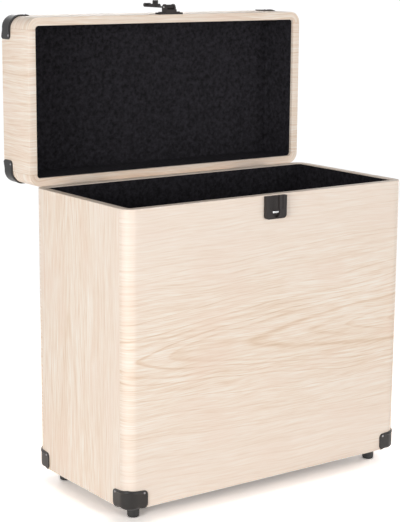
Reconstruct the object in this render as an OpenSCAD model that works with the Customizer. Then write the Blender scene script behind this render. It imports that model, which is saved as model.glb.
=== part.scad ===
// Carrying case for twelve-inch records, shown open.
// Wooden boards covered with wood-print vinyl and lined with felt; the lid is hinged at the back.
// Lengths are in millimetres. X runs right along the front, Y runs back, Z runs up from the feet.

/* [Case] */
// Width of the case across its front
case_w = 372; // [345:1:420]
// Depth of the case from front to back
case_d = 182; // [150:1:260]
// Height of the lower box, from its base to its rim
body_h = 313; // [280:1:340]
// Height of the lid, from its rim to its top
lid_h = 58; // [45:1:90]
// Radius of the upright edges and of the corners under the guards
edge_r = 13; // [11:0.5:16]
// Gap between the two rims when the lid is shut
rim_gap = 0.5; // [0.3:0.1:1.5]

/* [Boards and coverings] */
// Thickness of the wall boards
wall_t = 8; // [7:0.5:12]
// Thickness of the board in the base of the lower box
base_t = 6; // [4:0.5:12]
// Thickness of the board in the top of the lid
top_t = 6; // [4:0.5:12]
// Thickness of the vinyl
vinyl_t = 0.5; // [0.3:0.1:0.8]
// Width of vinyl turned down inside the rim of the lower box
body_turn_in = 1; // [1:0.5:8]
// Width of vinyl turned down inside the rim of the lid
lid_turn_in = 4; // [1:0.5:8]
// Thickness of the felt
felt_t = 0.8; // [0.5:0.1:2]
// Thickness of board left beyond a hole for a screw or rivet
board_left = 1; // [0.5:0.5:2]

/* [Corner guards] */
// Thickness of the pressed steel
guard_t = 1.2; // [0.8:0.1:2]
// Length of a guard along each edge of the case
guard_l = 25; // [22:0.5:34]
// Height of a guard on the corner itself
guard_h = 21; // [18:0.5:28]
// How far the top edge of a guard falls towards its ends
guard_fall = 2; // [0:0.5:4]
// Radius on the free corners of a guard
guard_tip_r = 4; // [2:0.5:5]
// Length of the plate that lies under the base and carries the foot
foot_plate = 33; // [31:0.5:38]
// Height of the pressed bead on a guard
bead_h = 0.4; // [0.2:0.1:0.8]
// Width of the pressed bead
bead_w = 1.4; // [1:0.1:2]
// Distance of the bead below the top edge of a guard
bead_drop = 1.7; // [1.4:0.1:2.4]
// Gap between the end of the bead and the nail heads
bead_gap = 0.6; // [0.2:0.1:1.5]
// Diameter of a nail head
nail_head_d = 2.6; // [2.4:0.1:3.2]
// Height of a nail head
nail_head_h = 0.8; // [0.5:0.1:1.2]
// Diameter of a nail shank
nail_d = 1.6; // [1.2:0.1:2]
// Length of a nail shank
nail_l = 7; // [5:0.5:8]
// Distance of a nail from the end of its wing
nail_in = 4.2; // [3.8:0.1:6]
// Distance of a nail below the top corner of its wing
nail_down = 2.4; // [2.2:0.1:4]

/* [Feet] */
// Distance from the base of the box to the floor
foot_h = 16; // [11:0.5:18]
// Diameter of a foot where it meets the case
foot_d = 14; // [13:0.5:16]
// Diameter of a foot at the floor
foot_tip_d = 12.8; // [12:0.1:13]
// Distance of a foot from the two outer faces
foot_inset = 22; // [21:0.5:24]
// Chamfer around the bottom of a foot
foot_chamfer = 1; // [0.4:0.1:1]
// Height of the straight band at the top of a foot
foot_band = 2; // [1:0.5:3]
// Diameter of the hole that takes the screw head
foot_bore_d = 8; // [7.6:0.1:8.4]
// Depth of the hole that takes the screw head
foot_bore_h = 6; // [4.5:0.5:7]
// Diameter of a foot screw
foot_screw_d = 4; // [3.5:0.1:4.5]
// Diameter of the head of a foot screw
foot_screw_head_d = 7; // [6.6:0.1:7.2]
// Height of the head of a foot screw
foot_screw_head_h = 2.4; // [1.8:0.1:3]

/* [Hinges] */
// Distance of the middle of each hinge from the end of the case
hinge_in = 71; // [60:1:120]
// Width of a hinge
hinge_w = 45; // [40:1:60]
// Length of each leaf from the hinge pin
hinge_leaf_l = 26; // [24:0.5:34]
// Thickness of a leaf
hinge_t = 1.2; // [1:0.1:1.6]
// Distance of the hinge pins below the rim of the box
hinge_drop = 4.5; // [4:0.5:6]
// Radius of the knuckles
knuckle_r = 2.6; // [2.4:0.1:2.8]
// Radius of the hinge pin
hinge_pin_r = 1; // [0.8:0.1:1.2]
// Gap between a knuckle and the case
hinge_clear = 0.3; // [0.3:0.1:0.6]
// Gap between neighbouring knuckles
knuckle_gap = 0.3; // [0.2:0.1:0.5]
// Width of the lugs that stop the lid
stop_w = 14; // [10:1:18]
// Height that a stop lug stands off its leaf
stop_out = 7; // [6:0.5:9]
// Thickness of a stop lug along the leaf
stop_l = 6; // [4:0.5:7]
// Gap between the two stop lugs when the lid is open
stop_gap = 0.3; // [0.2:0.1:0.6]
// Diameter of a hinge screw
hinge_screw_d = 2.6; // [2:0.1:3]
// Diameter of the head of a hinge screw
hinge_screw_head_d = 5.2; // [4.6:0.1:6]
// Height of the head of a hinge screw
hinge_screw_head_h = 1.3; // [1:0.1:1.8]
// Length of a hinge screw in the board
hinge_screw_l = 7; // [5:0.5:7.5]
// Distance of the outer hinge screws from the sides of the leaf
hinge_screw_in = 6; // [4:0.5:8]
// Distance of the outer hinge screws from the end of the leaf
hinge_screw_far = 9; // [8:0.5:10]
// Distance of the middle hinge screw from the end of the leaf
hinge_screw_near = 4; // [3.5:0.5:6]

/* [Latch] */
// Width of the plate of the latch on the lid
latch_plate_w = 31; // [30:0.5:36]
// Height of the plate of the latch on the lid
latch_plate_h = 10; // [10:0.5:14]
// Thickness of the plate of the latch
latch_plate_t = 2; // [1.2:0.1:2.2]
// Distance of the latch plate and of the keeper from their rims
latch_rim = 1; // [0.5:0.1:2]
// Distance of the latch pin in front of the case
latch_out = 8; // [7.8:0.1:9]
// Height of the latch pin above the rim of the lid
latch_pivot = 6.5; // [6:0.5:7.5]
// Width across the two cheeks that hold the latch pin
cheek_w = 14; // [13.6:0.1:16]
// Width of the space between the cheeks
cheek_gap = 9; // [8:0.1:9.4]
// Height of a cheek along the lid
cheek_h = 8; // [7:0.5:8]
// Radius of the round top of a cheek
cheek_r = 3.4; // [3.2:0.1:3.8]
// Height of the wall that joins the cheeks beside the rim
cheek_wall_h = 5.5; // [4:0.5:6]
// Thickness of the wall that joins the cheeks
cheek_wall_t = 1.8; // [1.2:0.1:2]
// Radius of the latch pin
latch_pin_r = 1; // [0.8:0.1:1.2]
// Diameter of a rivet head
rivet_head_d = 4.4; // [4:0.1:5]
// Height of a rivet head
rivet_head_h = 0.9; // [0.6:0.1:1.2]
// Diameter of a rivet shank
rivet_d = 2.4; // [2:0.1:3]

/* [Hasp] */
// Side gap between the hasp and the cheeks
hasp_side = 0.3; // [0.2:0.1:0.6]
// Radius of the barrel of the hasp
barrel_r = 2.8; // [2.6:0.1:3]
// Thickness of the arm of the hasp
arm_t = 1.6; // [1.2:0.1:1.8]
// Distance from the latch pin to the back of the arm
arm_back = 1; // [0.8:0.1:1.2]
// Distance from the latch pin to the middle of the curled tip
tip_reach = 44; // [40:0.5:50]
// Radius of the curled tip
tip_r = 2.2; // [1.8:0.1:2.4]
// Distance from the latch pin to the working face of the hook
hook_reach = 26.8; // [25:0.1:28]
// Radius of the half-round hook
hook_r = 3.6; // [3:0.1:3.8]
// Gap between the end of the hook and the case when shut
hook_gap = 1; // [0.6:0.1:1.5]
// Gap between the root of the hook and the keeper when shut
root_gap = 0.5; // [0.3:0.1:0.8]
// Length of the root of the hook beyond each side of the hook
root_l = 3; // [2:0.5:4]

/* [Keeper] */
// Width of the keeper
keeper_w = 27.5; // [26:0.5:34]
// Height of the keeper
keeper_h = 24.5; // [24:0.5:30]
// Thickness of the keeper
keeper_t = 4.5; // [4.3:0.1:5.4]
// Radius of the lower corners of the keeper
keeper_r = 4; // [3:0.5:5]
// Width of the channel down the keeper
channel_w = 10; // [10:0.1:12]
// Thickness of the keeper under the channel
channel_floor = 1; // [0.8:0.1:1.2]
// Width of the shallow step beside the channel
step_w = 4; // [3:0.5:5]
// Depth of the shallow step beside the channel
step_t = 1.2; // [0.8:0.1:1.6]
// Distance of the shallow step above the catch bar
step_up = 2; // [1:0.5:4]
// Height of the steel catch bar
catch_h = 2; // [1.6:0.1:2.4]
// Thickness of the steel catch bar
catch_t = 2; // [1.6:0.1:2.2]
// Gap between the hook and the catch bar when shut
catch_gap = 0.3; // [0.2:0.1:0.6]
// Thickness of the keeper under the pocket
pocket_floor = 0.5; // [0.3:0.1:0.6]
// Gap around the half-round hook in its pocket
pocket_gap = 0.8; // [0.6:0.1:0.9]
// Diameter of the studs on the back of the keeper
stud_d = 3; // [2.4:0.1:3.4]
// Length of the studs on the back of the keeper
stud_l = 7; // [5:0.5:7.5]
// Distance of the studs from the top of the keeper and from the catch bar
stud_in = 5; // [4:0.5:6]

/* [Handle] */
// Distance between the middles of the two brackets
handle_span = 140; // [130:1:170]
// Distance of the handle pivot above the lid
handle_pivot = 7.7; // [7.7:0.1:10]
// Radius of the steel rod of the handle
rod_r = 3; // [2.5:0.1:3.2]
// Inner radius of the bends in the rod
rod_bend = 4; // [3:0.5:6]
// Distance from the pivot to the grip
grip_reach = 28; // [26:0.5:34]
// Distance that the grip lies outside the line of the pivot
grip_out = 0.3; // [0.2:0.05:0.5]
// Radius of the grip
grip_r = 7; // [6.5:0.1:7]
// Length of the grip
grip_l = 84; // [70:1:88]
// Radius of the rounding at the ends of the grip
grip_round = 3; // [1:0.2:3.4]
// Width of a bracket along the handle
bracket_w = 14; // [12:0.5:18]
// Length of a bracket across the handle
bracket_l = 32; // [30:0.5:40]
// Thickness of the foot of a bracket
bracket_t = 2; // [1.5:0.1:2.5]
// Width of the bearing of a bracket
bearing_w = 10; // [8:0.5:11]
// Radius of the bearing of a bracket
bearing_r = 5.5; // [5:0.1:6]
// Distance of the bracket screws from the middle of the bracket
bracket_screw_y = 11.5; // [11:0.5:12.5]
// Diameter of a bracket screw
bracket_screw_d = 3.2; // [2.6:0.1:3.6]
// Diameter of the head of a bracket screw
bracket_screw_head_d = 6; // [5.4:0.1:6.6]
// Height of the head of a bracket screw
bracket_screw_head_h = 1.8; // [1.4:0.1:2.2]

/* [Fits] */
// Radial clearance of a pin that turns in its bore
pin_fit = 0.05; // [0.03:0.01:0.08]
// Radial clearance of a screw, nail or rivet in its hole
hole_fit = 0.1; // [0.05:0.01:0.2]
// Depth of a screw hole beyond the end of its screw
hole_deep = 0.5; // [0.2:0.1:1]
// Gap between pieces that are seated on each other
seat = 0.05; // [0.02:0.01:0.1]

/* [Hidden] */
$fn = 64;
past = 1;
lid_open = 90;
knuckles = 5;
rim_w = 2 * vinyl_t + wall_t;
inner = vinyl_t + wall_t;
bracket_depth = bracket_t + vinyl_t + top_t - board_left;
hinge_out = knuckle_r + hinge_clear;
hinge_up = -hinge_drop;
hinge_x = case_w / 2 - hinge_in;
front_out = keeper_t;
back_out = hinge_out + rim_gap - hinge_up + lid_h + handle_pivot + grip_out + grip_r;
case_y = (front_out - back_out) / 2;
guard_out = seat + guard_t;
nail_z = guard_h - guard_fall - nail_down;
bead_l = guard_l - nail_in - nail_head_d / 2 - bead_gap;
catch_z = -(hook_reach - latch_pivot - rim_gap) + catch_gap;
pocket_r = hook_r + pocket_gap;
hook_out = latch_out - hook_gap;
root_out = latch_out - keeper_t - root_gap;
arm_w = cheek_gap - 2 * hasp_side;
knuckle_w = (hinge_w - (knuckles - 1) * knuckle_gap) / knuckles;

// ---- where things stand ----

// The lower box: its origin is the middle of its base.
module on_body() {
    translate([0, case_y, foot_h]) children();
}

// The lid as if shut: its origin is the middle of its rim. It is then swung open about the hinge pins.
module on_lid() {
    translate([0, case_y + case_d / 2 + hinge_out, foot_h + body_h + hinge_up])
        rotate([-lid_open, 0, 0])
            translate([0, -case_d / 2 - hinge_out, rim_gap - hinge_up]) children();
}

// The lid seen as a box that stands on its top, so that lid and lower box share their modules.
module on_lid_box() {
    on_lid() translate([0, 0, lid_h]) mirror([0, 0, 1]) children();
}

// The latch pin, on the front of the lid.
module on_latch() {
    on_lid() translate([0, -case_d / 2 - latch_out, latch_pivot]) children();
}

// The handle pivot, on the top of the lid.
module on_handle() {
    on_lid() translate([0, 0, lid_h + handle_pivot]) children();
}

// One corner of a box: its children are drawn for the corner at the origin of the positive octant.
module at_corner(right, back) {
    translate([(right ? 1 : -1) * case_w / 2, (back ? 1 : -1) * case_d / 2, 0])
        mirror([right ? 1 : 0, 0, 0]) mirror([0, back ? 1 : 0, 0]) children();
}

module at_corners() {
    for (right = [false, true], back = [false, true]) at_corner(right, back) children();
}

// ---- the boxes ----

// The plan of the case, drawn in by an inset, with round corners.
module case_plan(inset) {
    w = case_w - 2 * inset;
    d = case_d - 2 * inset;
    r = edge_r - inset;
    square([w - 2 * r, d], center = true);
    square([w, d - 2 * r], center = true);
    for (x = [-1, 1], y = [-1, 1]) translate([x * (w / 2 - r), y * (d / 2 - r)]) circle(r);
}

// The plan of the inside, which has square corners.
module inside_plan(inset) {
    square([case_w - 2 * inset, case_d - 2 * inset], center = true);
}

// The region of one wall, up to the mitres in the corners.
module mitre_plan(side) {
    x = case_w / 2;
    y = case_d / 2;
    q = inner + past;
    if (side == "front")
        polygon([[-x - past, -y - past], [x + past, -y - past], [x - q, -y + q], [-x + q, -y + q]]);
    if (side == "back")
        polygon([[x + past, y + past], [-x - past, y + past], [-x + q, y - q], [x - q, y - q]]);
    if (side == "left")
        polygon([[-x - past, y + past], [-x - past, -y - past], [-x + q, -y + q], [-x + q, y - q]]);
    if (side == "right")
        polygon([[x + past, -y - past], [x + past, y + past], [x - q, y - q], [x - q, -y + q]]);
}

// The region of one sheet of vinyl: the front and back sheets run round the upright edges.
module sheet_plan(side) {
    x = case_w / 2 + past;
    y = case_d / 2 + past;
    s = case_d / 2 - edge_r;
    if (side == "front") translate([-x, -y]) square([2 * x, y - s]);
    if (side == "back") translate([-x, s]) square([2 * x, y - s]);
    if (side == "left") translate([-x, -s]) square([x, 2 * s]);
    if (side == "right") translate([0, -s]) square([x, 2 * s]);
}

// A wall board of a box of height h, between the vinyl on the base and on the rim.
module box_wall(side, h) {
    difference() {
        translate([0, 0, vinyl_t])
            linear_extrude(h - 2 * vinyl_t)
                intersection() {
                    difference() {
                        case_plan(vinyl_t);
                        inside_plan(inner);
                    }
                    mitre_plan(side);
                }
        at_corners() corner_ease();
    }
}

// The board in the base of a box.
module box_base(t) {
    difference() {
        translate([0, 0, vinyl_t]) linear_extrude(t) inside_plan(inner);
        at_corners() corner_ease();
    }
}

// The vinyl under the base of a box, inside the skirts of the wall sheets.
module box_base_sheet() {
    difference() {
        linear_extrude(vinyl_t) case_plan(vinyl_t);
        at_corners() corner_ease();
    }
}

// The vinyl on one wall: the outer skin, the rim and the edge that is turned down inside by turn_in.
module box_sheet(side, h, turn_in) {
    difference() {
        linear_extrude(h)
            intersection() {
                difference() {
                    case_plan(0);
                    inside_plan(rim_w);
                }
                sheet_plan(side);
            }
        translate([0, 0, -past]) linear_extrude(h - turn_in + past) case_plan(vinyl_t);
        translate([0, 0, -past])
            linear_extrude(h - vinyl_t + past)
                difference() {
                    case_plan(vinyl_t);
                    inside_plan(inner);
                }
        at_corners() corner_ease();
    }
}

// The felt that lines a box below the turned vinyl.
module box_lining(h, base, turn_in) {
    floor_z = vinyl_t + base;
    difference() {
        translate([0, 0, floor_z]) linear_extrude(h - turn_in - floor_z) inside_plan(inner);
        translate([0, 0, floor_z + felt_t]) linear_extrude(h) inside_plan(inner + felt_t);
    }
}

// ---- corner guards ----

// The waste that rounds one lower edge, drawn in the plane across that edge.
module ease_plan() {
    difference() {
        translate([0, -edge_r - past]) square([edge_r + past, edge_r + past]);
        circle(edge_r - seat);
    }
}

// What is taken off a corner of the box to seat a guard.
module corner_ease() {
    translate([edge_r, edge_r, edge_r]) {
        rotate([0, 0, 180]) rotate_extrude(angle = 90) ease_plan();
        rotate([90, 0, 90]) mirror([1, 0, 0]) linear_extrude(guard_l - edge_r + seat) ease_plan();
        mirror([1, -1, 0])
            rotate([90, 0, 90]) mirror([1, 0, 0]) linear_extrude(guard_l - edge_r + seat) ease_plan();
    }
}

// The section of a guard across an edge, between two distances from the faces of the case.
module guard_section(near, far) {
    intersection() {
        difference() {
            circle(edge_r + far);
            circle(edge_r + near);
        }
        translate([0, -edge_r - far]) square(edge_r + far);
    }
    translate([edge_r + near, 0]) square([far - near, guard_h]);
}

// The bent shell of a guard, before its outline is cut.
module guard_shell(near, far, plate) {
    reach = plate - edge_r;
    translate([edge_r, edge_r, edge_r]) {
        rotate([0, 0, 180]) rotate_extrude(angle = 90) guard_section(near, far);
        for (turn = [0, 1])
            mirror([turn, -turn, 0])
                rotate([90, 0, 90]) mirror([1, 0, 0]) linear_extrude(guard_l - edge_r)
                    guard_section(near, far);
        translate([0, 0, -edge_r - far]) linear_extrude(far - near) square(reach);
    }
}

// The outline of one wing of a guard, lowered by a drop.
module wing_outline(drop) {
    r = guard_tip_r;
    top = guard_h - drop;
    tip = top - guard_fall;
    difference() {
        polygon([[-past - guard_out, -past - guard_out], [foot_plate + past, -past - guard_out],
                 [foot_plate + past, 0], [guard_l, 0], [guard_l, tip], [0, top],
                 [-past - guard_out, top]]);
        difference() {
            translate([guard_l - r, tip - r]) square(2 * r);
            translate([guard_l - r, tip - r]) circle(r);
        }
    }
}

// Both wings of a guard, as a cutter that trims a shell to its outline.
module wing_trim(drop) {
    intersection() {
        translate([0, foot_plate + past, 0]) rotate([90, 0, 0])
            linear_extrude(foot_plate + 2 * past + guard_out) wing_outline(drop);
        mirror([1, -1, 0]) translate([0, foot_plate + past, 0]) rotate([90, 0, 0])
            linear_extrude(foot_plate + 2 * past + guard_out) wing_outline(drop);
    }
}

// Where the nails of a guard stand, each with its shank along +Z into the case.
module at_nails(top_nail) {
    for (turn = [0, 1])
        mirror([turn, -turn, 0])
            translate([guard_l - nail_in, -guard_out, nail_z]) rotate([-90, 0, 0]) children();
    if (top_nail)
        translate([edge_r + nail_in, edge_r + nail_in, -guard_out]) children();
}

module nail() {
    translate([0, 0, -nail_head_h - seat]) cylinder(d = nail_head_d, h = nail_head_h);
    translate([0, 0, -seat - nail_head_h / 2]) cylinder(d = nail_d, h = nail_l + nail_head_h / 2);
}

module nail_hole() {
    translate([0, 0, -past]) cylinder(r = nail_d / 2 + hole_fit, h = nail_l + past + hole_fit);
}

// A ball-cornered guard of pressed steel, with a bead along its wings.
module guard(plate, top_nail) {
    difference() {
        union() {
            intersection() {
                guard_shell(seat, guard_out, plate);
                wing_trim(0);
            }
            intersection() {
                guard_shell(guard_out - bead_h, guard_out + bead_h, guard_l);
                wing_trim(bead_drop);
                difference() {
                    translate([-guard_out - past, -guard_out - past, edge_r / 2])
                        cube([bead_l + guard_out + past, bead_l + guard_out + past, guard_h]);
                    wing_trim(bead_drop + bead_w);
                }
            }
        }
        translate([plate, plate, -2 * guard_out])
            rotate([0, 0, 45]) translate([-guard_tip_r, -plate, 0])
                cube([plate, 2 * plate, 4 * guard_out]);
        at_nails(top_nail) nail_hole();
        if (!top_nail) translate([foot_inset, foot_inset, -2 * guard_out])
            cylinder(r = foot_screw_d / 2 + hole_fit, h = 4 * guard_out);
    }
}

// ---- feet ----

module at_feet() {
    for (right = [false, true], back = [false, true]) at_foot(right, back) children();
}

module at_foot(right, back) {
    at_corner(right, back) translate([foot_inset, foot_inset, -foot_h]) children();
}

// A moulded rubber foot, turned about its screw.
module foot() {
    h = foot_h - guard_out - seat;
    difference() {
        rotate_extrude() polygon([[0, 0], [foot_tip_d / 2 - foot_chamfer, 0],
            [foot_tip_d / 2, foot_chamfer], [foot_d / 2, h - foot_band], [foot_d / 2, h], [0, h]]);
        translate([0, 0, -past]) cylinder(d = foot_bore_d, h = foot_bore_h + past);
        translate([0, 0, -past]) cylinder(r = foot_screw_d / 2 + hole_fit, h = h + 2 * past);
    }
}

module foot_screw() {
    head_z = foot_bore_h - foot_screw_head_h - seat;
    tip_z = foot_h + vinyl_t + base_t - board_left - hole_deep;
    translate([0, 0, head_z]) cylinder(d = foot_screw_head_d, h = foot_screw_head_h);
    translate([0, 0, head_z + foot_screw_head_h / 2])
        cylinder(d = foot_screw_d, h = tip_z - head_z - foot_screw_head_h / 2);
}

module foot_screw_hole() {
    translate([0, 0, foot_h - past])
        cylinder(r = foot_screw_d / 2 + hole_fit, h = past + vinyl_t + base_t - board_left);
}

// ---- hinges ----

// The middle of the hinge pin of one hinge, drawn with the lid shut.
module at_hinge(side) {
    translate([side * hinge_x, case_d / 2 + hinge_out, 0]) children();
}

// Screw places on a leaf, each with its shank along -Y into the case.
module at_leaf_screws() {
    for (x = [-1, 0, 1])
        translate([x * (hinge_w / 2 - hinge_screw_in), -hinge_out + hinge_t,
                   -hinge_leaf_l + (x == 0 ? hinge_screw_near : hinge_screw_far)])
            rotate([90, 0, 0]) children();
}

module hinge_screw() {
    translate([0, 0, -hinge_screw_head_h - seat])
        cylinder(d = hinge_screw_head_d, h = hinge_screw_head_h);
    translate([0, 0, -seat - hinge_screw_head_h / 2])
        cylinder(d = hinge_screw_d, h = hinge_screw_l + hinge_t + hinge_screw_head_h / 2);
}

module hinge_screw_hole() {
    translate([0, 0, -past])
        cylinder(r = hinge_screw_d / 2 + hole_fit, h = hinge_screw_l + hinge_t + past + hole_fit);
}

// A knuckle of the hinge with the tab that ties it to its leaf.
module knuckle(i) {
    x = -hinge_w / 2 + i * (knuckle_w + knuckle_gap);
    translate([x, 0, 0]) rotate([0, 90, 0]) cylinder(r = knuckle_r, h = knuckle_w);
    translate([x, -hinge_out + seat, -knuckle_r - hinge_clear - past])
        cube([knuckle_w, hinge_t - seat, knuckle_r + hinge_clear + past]);
}

// A leaf that hangs down from the pin, with the knuckles at the places given.
module leaf(places) {
    difference() {
        union() {
            translate([-hinge_w / 2, -hinge_out + seat, -hinge_leaf_l])
                cube([hinge_w, hinge_t - seat, hinge_leaf_l - knuckle_r - hinge_clear]);
            for (i = places) knuckle(i);
        }
        translate([-hinge_w / 2 - past, 0, 0]) rotate([0, 90, 0])
            cylinder(r = hinge_pin_r + pin_fit, h = hinge_w + 2 * past);
        at_leaf_screws() hinge_screw_hole();
    }
}

// The lower leaf, with the lug that the lid's lug comes to rest on.
module body_leaf() {
    leaf([0 : 2 : knuckles - 1]);
    translate([-stop_w / 2, -hinge_out + hinge_t / 2, -knuckle_r - hinge_clear - stop_l - stop_gap])
        cube([stop_w, 2 * hinge_out - hinge_t / 2 - stop_gap, stop_l]);
}

// The upper leaf, drawn hanging down as well and turned over by its place.
module lid_leaf() {
    leaf([1 : 2 : knuckles - 1]);
    translate([-stop_w / 2, -hinge_out + hinge_t / 2, -hinge_out - stop_l])
        cube([stop_w, hinge_out + stop_out - hinge_t / 2, stop_l]);
}

module hinge_pin() {
    translate([-hinge_w / 2, 0, 0]) rotate([0, 90, 0]) cylinder(r = hinge_pin_r, h = hinge_w);
}

// The two hinges seen from the lower box, and seen from the lid.
module on_body_hinge(side) {
    on_body() translate([0, 0, body_h + hinge_up]) at_hinge(side) children();
}

module on_lid_hinge(side) {
    on_lid() translate([0, 0, hinge_up - rim_gap]) at_hinge(side) mirror([0, 0, 1]) children();
}

// ---- latch ----

// Rivets of the latch plate, each with its shank along +Y into the lid.
module at_latch_rivets() {
    for (x = [-1, 1])
        translate([x * (latch_plate_w / 2 - rivet_head_d / 2 - 1), -case_d / 2 - latch_plate_t,
                   latch_rim + latch_plate_h / 2])
            rotate([-90, 0, 0]) children();
}

module rivet() {
    translate([0, 0, -rivet_head_h - seat]) cylinder(d = rivet_head_d, h = rivet_head_h);
    translate([0, 0, -seat - rivet_head_h / 2])
        cylinder(d = rivet_d, h = rivet_head_h / 2 + latch_plate_t + inner - board_left - hole_deep);
}

module rivet_hole() {
    translate([0, 0, -past])
        cylinder(r = rivet_d / 2 + hole_fit, h = past + latch_plate_t + inner - board_left);
}

// The plate on the lid, with the two cheeks that carry the latch pin.
module latch_base_solid() {
    difference() {
        union() {
            translate([-latch_plate_w / 2, -case_d / 2 - latch_plate_t, latch_rim])
                cube([latch_plate_w, latch_plate_t - seat, latch_plate_h]);
            for (x = [-cheek_w / 2, cheek_gap / 2]) {
                translate([x, -case_d / 2 - latch_out, latch_pivot]) rotate([0, 90, 0])
                    cylinder(r = cheek_r, h = (cheek_w - cheek_gap) / 2);
                translate([x, -case_d / 2 - latch_out, latch_pivot - cheek_h / 2])
                    cube([(cheek_w - cheek_gap) / 2, latch_out - latch_plate_t / 2, cheek_h]);
            }
            translate([-cheek_w / 2, -case_d / 2 - cheek_wall_h, latch_rim])
                cube([cheek_w, cheek_wall_h - latch_plate_t / 2, cheek_wall_t]);
        }
        translate([-cheek_w, -case_d / 2 - latch_out, latch_pivot]) rotate([0, 90, 0])
            cylinder(r = latch_pin_r + pin_fit, h = 2 * cheek_w);
        at_latch_rivets() rivet_hole();
    }
}

// The hasp, folded up: barrel on the pin, flat arm, hook on its outer side and curled tip.
module hasp_solid() {
    difference() {
        union() {
            translate([-arm_w / 2, 0, 0]) rotate([0, 90, 0]) cylinder(r = barrel_r, h = arm_w);
            translate([-arm_w / 2, arm_back - arm_t, 0]) cube([arm_w, arm_t, tip_reach]);
            translate([-arm_w / 2, arm_back - tip_r, tip_reach]) rotate([0, 90, 0])
                cylinder(r = tip_r, h = arm_w);
            rotate([90, 0, 0])
                linear_extrude(hook_out)
                    intersection() {
                        translate([0, hook_reach]) circle(hook_r);
                        translate([-hook_r, hook_reach]) square(2 * hook_r);
                    }
            translate([-arm_w / 2, 0, 0]) rotate([90, 0, 90])
                linear_extrude(arm_w)
                    polygon([[0, hook_reach - root_l - root_out], [-root_out, hook_reach - root_l],
                             [-root_out, hook_reach + hook_r + root_l],
                             [0, hook_reach + hook_r + root_l + root_out]]);
        }
        translate([-arm_w, 0, 0]) rotate([0, 90, 0])
            cylinder(r = latch_pin_r + pin_fit, h = 2 * arm_w);
    }
}

// The front of the lower box at its rim, with +Z outwards and +Y up.
module on_keeper() {
    on_body() keeper_place() children();
}

module keeper_place() {
    translate([0, -case_d / 2 - seat, body_h]) rotate([90, 0, 0]) children();
}

module keeper_outline() {
    w = keeper_w / 2;
    bottom = -latch_rim - keeper_h;
    translate([-w, bottom + keeper_r]) square([keeper_w, keeper_h - keeper_r]);
    translate([-w + keeper_r, bottom]) square([keeper_w - 2 * keeper_r, keeper_r + past]);
    for (x = [-1, 1]) translate([x * (w - keeper_r), bottom + keeper_r]) circle(keeper_r);
}

module at_studs() {
    for (y = [-latch_rim - stud_in, catch_z + catch_h + stud_in])
        translate([0, y, -stud_l]) children();
}

// The die-cast keeper: raised sides, a channel down the middle and a pocket for the hook.
module keeper_solid() {
    difference() {
        linear_extrude(keeper_t - seat) keeper_outline();
        translate([-channel_w / 2, catch_z, channel_floor])
            cube([channel_w, keeper_h, keeper_t]);
        translate([-channel_w / 2 - step_w, catch_z + catch_h + step_up, keeper_t - step_t])
            cube([channel_w + 2 * step_w, keeper_h, keeper_t]);
        translate([0, 0, pocket_floor]) linear_extrude(keeper_t + past)
            intersection() {
                translate([0, catch_z - catch_gap]) circle(pocket_r);
                translate([-pocket_r, catch_z - 2 * pocket_r]) square([2 * pocket_r, 2 * pocket_r]);
            }
    }
    at_studs() cylinder(d = stud_d, h = stud_l + channel_floor / 2);
}

// The bright steel bar that the hook catches under.
module catch_solid() {
    translate([-channel_w / 2 + seat, catch_z, keeper_t - step_t - catch_t])
        cube([channel_w - 2 * seat, catch_h, catch_t]);
}

// ---- handle ----

module bracket_place(side) {
    translate([side * handle_span / 2, 0, -handle_pivot]) children();
}

module at_bracket_screws() {
    for (y = [-1, 1]) translate([0, y * bracket_screw_y, bracket_t]) mirror([0, 0, 1]) children();
}

module bracket_screw() {
    translate([0, 0, -bracket_screw_head_h - seat])
        cylinder(d = bracket_screw_head_d, h = bracket_screw_head_h);
    translate([0, 0, -seat - bracket_screw_head_h / 2])
        cylinder(d = bracket_screw_d, h = bracket_screw_head_h / 2 + bracket_depth - hole_deep);
}

module bracket_screw_hole() {
    translate([0, 0, -past]) cylinder(r = bracket_screw_d / 2 + hole_fit, h = past + bracket_depth);
}

// A bracket: a screwed foot and a round bearing for the end of the rod.
module bracket() {
    difference() {
        union() {
            translate([-bracket_w / 2, -bracket_l / 2, seat])
                cube([bracket_w, bracket_l, bracket_t - seat]);
            translate([-bearing_w / 2, 0, handle_pivot]) rotate([0, 90, 0])
                cylinder(r = bearing_r, h = bearing_w);
            translate([-bearing_w / 2, -bearing_r, bracket_t / 2])
                cube([bearing_w, 2 * bearing_r, handle_pivot - bracket_t / 2]);
        }
        translate([-bracket_w, 0, handle_pivot]) rotate([0, 90, 0])
            cylinder(r = rod_r + pin_fit, h = 2 * bracket_w);
        at_bracket_screws() bracket_screw_hole();
    }
}

// Half of the bent rod: its end in the bearing, the leg and half of the length inside the grip.
module rod_half() {
    turn_r = rod_bend + rod_r;
    leg_x = handle_span / 2 - bearing_w / 2 - turn_r - past;
    translate([leg_x + turn_r, 0, 0]) rotate([0, 90, 0]) cylinder(r = rod_r, h = past + bearing_w);
    translate([leg_x + turn_r, turn_r, 0]) rotate([0, 0, 180]) rotate_extrude(angle = 90)
        translate([turn_r, 0]) circle(rod_r);
    translate([leg_x, turn_r, 0]) rotate([-90, 0, 0])
        cylinder(r = rod_r, h = grip_reach - 2 * turn_r);
    translate([leg_x - turn_r, grip_reach - turn_r, 0]) rotate_extrude(angle = 90)
        translate([turn_r, 0]) circle(rod_r);
    translate([0, grip_reach, 0]) rotate([0, 90, 0]) cylinder(r = rod_r, h = leg_x - turn_r);
}

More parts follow.
